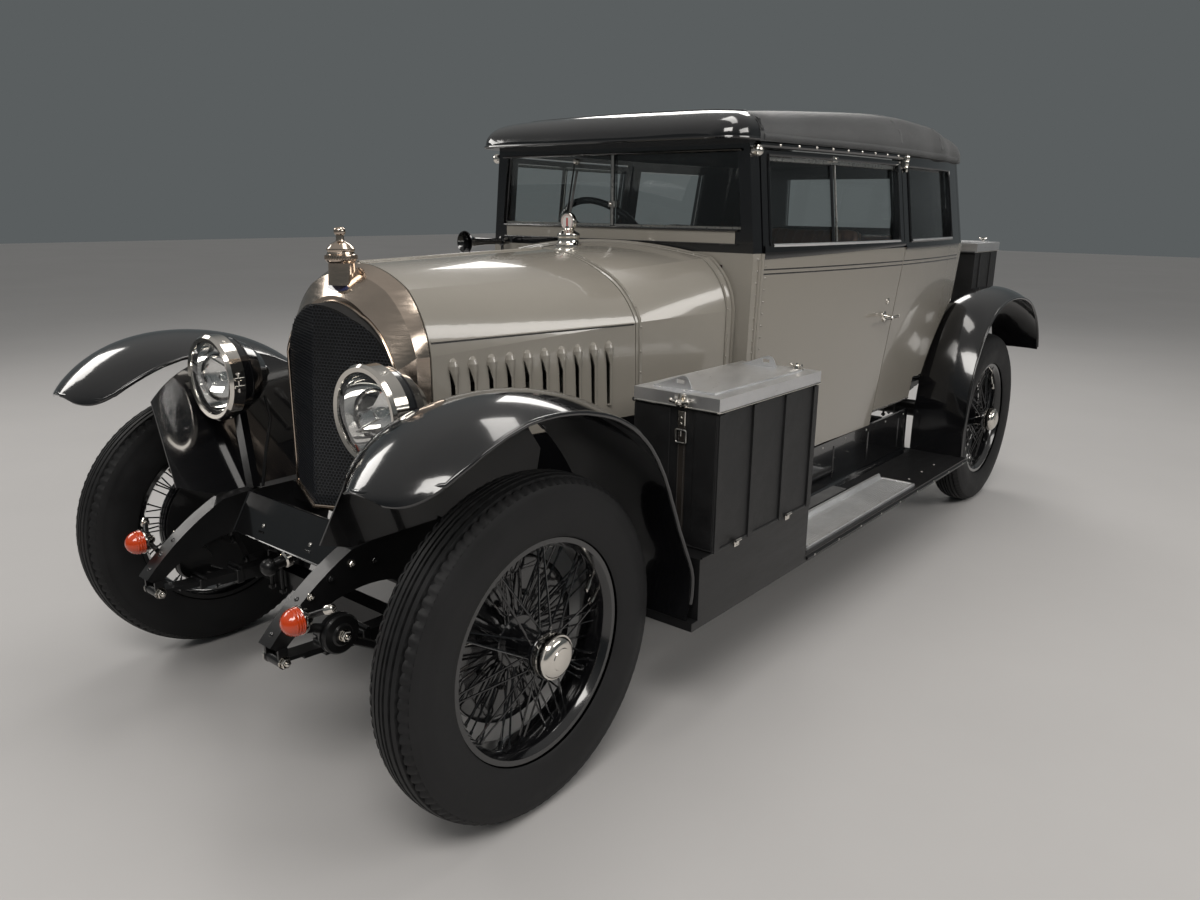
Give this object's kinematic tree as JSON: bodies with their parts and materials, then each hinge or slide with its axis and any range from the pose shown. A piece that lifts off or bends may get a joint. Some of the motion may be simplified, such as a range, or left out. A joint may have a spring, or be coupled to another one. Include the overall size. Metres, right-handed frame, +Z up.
{
  "type": "1920s saloon car",
  "caption": "Vintage closed touring car with V radiator, louvred hinged bonnet, wire wheels, domed wings, running-board luggage cases, opening doors and lids, and working steering.",
  "frame": {"origin": "on the ground under the middle of the car", "axes": "+Z up, the front faces -Y, and the car's left side is at +X"},
  "size_m": [1.612, 3.7958, 1.6352],
  "materials": {
    "body_paint": "gloss",
    "black_enamel": "gloss",
    "chassis_black": "satin",
    "wheel_black": "gloss",
    "nickel": "polished",
    "core_black": "satin",
    "cast_iron": "rough",
    "glass": "clear",
    "lens_glass": "clear",
    "roof_fabric": "coated cloth",
    "aluminium": "brushed",
    "case_leather": "grained",
    "seat_leather": "grained",
    "amber": "ribbed",
    "plate_black": "satin",
    "wheel_rim_black": "gloss",
    "tyre": "rubber"
  },
  "bodies": {
    "chassis": {"frame_rails": "chassis_black", "cross_members": "chassis_black", "front_axle": "chassis_black", "rear_axle": "chassis_black", "leaf_springs": "chassis_black", "engine_block": "cast_iron", "radiator_shell": "nickel", "radiator_core": "core_black", "filler_caps": "nickel", "bonnet_hinge": "body_paint", "scuttle": "body_paint", "body_shell": "body_paint", "cabin_frame": "black_enamel", "cabin_glass": "glass", "windscreen_glass": "glass", "roof": "roof_fabric", "visor": "black_enamel", "front_wings": "black_enamel", "rear_wings": "black_enamel", "valances": "black_enamel", "running_boards": "black_enamel", "tread_plates": "aluminium", "luggage_cases": "case_leather", "trunk": "case_leather", "front_seats": "seat_leather", "rear_seat": "seat_leather", "steering_column": "chassis_black", "lamp_bowls": "black_enamel", "lamp_rims": "nickel", "lamp_lenses": "lens_glass", "turn_lamps": "amber", "number_plate": "plate_black"},
    "bonnet_left": {"bonnet_left": "body_paint"},
    "bonnet_right": {"bonnet_right": "body_paint"},
    "door_left": {"door_left": "body_paint", "door_glass_left": "glass"},
    "door_right": {"door_right": "body_paint", "door_glass_right": "glass"},
    "case_lid_left": {"case_lid_left": "aluminium"},
    "case_lid_right": {"case_lid_right": "aluminium"},
    "trunk_lid": {"trunk_lid": "aluminium"},
    "steering_wheel": {"steering_wheel": "wheel_rim_black"},
    "knuckle_left": {"knuckle_left": "chassis_black"},
    "knuckle_right": {"knuckle_right": "chassis_black"},
    "tie_rod": {"tie_rod": "chassis_black"},
    "wheel_front_left": {"wheel_front_left": "wheel_black", "tyre_front_left": "tyre"},
    "wheel_front_right": {"wheel_front_right": "wheel_black", "tyre_front_right": "tyre"},
    "wheel_rear_left": {"wheel_rear_left": "wheel_black", "tyre_rear_left": "tyre"},
    "wheel_rear_right": {"wheel_rear_right": "wheel_black", "tyre_rear_right": "tyre"}
  },
  "joints": [
    {"name": "bonnet_left_hinge", "type": "hinge", "parent": "chassis", "child": "bonnet_left", "pos_m": [0, -1.4067, 1.155], "axis": [0, -0.9997, -0.0244], "range_deg": [0, 60]},
    {"name": "bonnet_right_hinge", "type": "hinge", "parent": "chassis", "child": "bonnet_right", "pos_m": [0, -1.4067, 1.155], "axis": [0, 0.9997, 0.0244], "range_deg": [0, 60]},
    {"name": "door_left_hinge", "type": "hinge", "parent": "chassis", "child": "door_left", "pos_m": [0.5272, -0.383, 0.508], "axis": [-0.0261, 0, -0.9997], "range_deg": [0, 70]},
    {"name": "door_right_hinge", "type": "hinge", "parent": "chassis", "child": "door_right", "pos_m": [-0.5272, -0.383, 0.508], "axis": [-0.0261, 0, 0.9997], "range_deg": [0, 70]},
    {"name": "case_lid_left_hinge", "type": "hinge", "parent": "chassis", "child": "case_lid_left", "pos_m": [0.5507, -0.751, 0.83], "axis": [0, -1, 0], "range_deg": [0, 90]},
    {"name": "case_lid_right_hinge", "type": "hinge", "parent": "chassis", "child": "case_lid_right", "pos_m": [-0.5507, -0.751, 0.83], "axis": [0, 1, 0], "range_deg": [0, 90]},
    {"name": "trunk_lid_hinge", "type": "hinge", "parent": "chassis", "child": "trunk_lid", "pos_m": [0, 1.4997, 1.112], "axis": [1, 0, 0], "range_deg": [0, 85]},
    {"name": "steer_left", "type": "hinge", "parent": "chassis", "child": "knuckle_left", "pos_m": [0.532, -1.505, 0.3825], "axis": [0, 0, 1], "range_deg": [-28, 28]},
    {"name": "steer_right", "type": "hinge", "parent": "chassis", "child": "knuckle_right", "pos_m": [-0.532, -1.505, 0.3825], "axis": [0, 0, 1], "range_deg": [-28, 28]},
    {"name": "tie_rod_pivot", "type": "hinge", "parent": "knuckle_left", "child": "tie_rod", "pos_m": [0.532, -1.355, 0.3075], "axis": [0, 0, 1], "range_deg": [-28, 28]},
    {"name": "steering_wheel_turn", "type": "hinge", "parent": "chassis", "child": "steering_wheel", "pos_m": [-0.27, -0.105, 1.15], "axis": [0, 0.8192, 0.5736], "range_deg": [-450, 450]},
    {"name": "wheel_front_left_spin", "type": "hinge", "parent": "knuckle_left", "child": "wheel_front_left", "pos_m": [0.65, -1.505, 0.3825], "axis": [1, 0, 0], "continuous": true},
    {"name": "wheel_front_right_spin", "type": "hinge", "parent": "knuckle_right", "child": "wheel_front_right", "pos_m": [-0.65, -1.505, 0.3825], "axis": [1, 0, 0], "continuous": true},
    {"name": "wheel_rear_left_spin", "type": "hinge", "parent": "chassis", "child": "wheel_rear_left", "pos_m": [0.65, 1.445, 0.3825], "axis": [1, 0, 0], "continuous": true},
    {"name": "wheel_rear_right_spin", "type": "hinge", "parent": "chassis", "child": "wheel_rear_right", "pos_m": [-0.65, 1.445, 0.3825], "axis": [1, 0, 0], "continuous": true}
  ],
  "couplings": [
    {"joint": "steer_right", "follows": "steer_left", "ratio": 1},
    {"joint": "tie_rod_pivot", "follows": "steer_left", "ratio": -1},
    {"joint": "steering_wheel_turn", "follows": "steer_left", "ratio": 16}
  ]
}
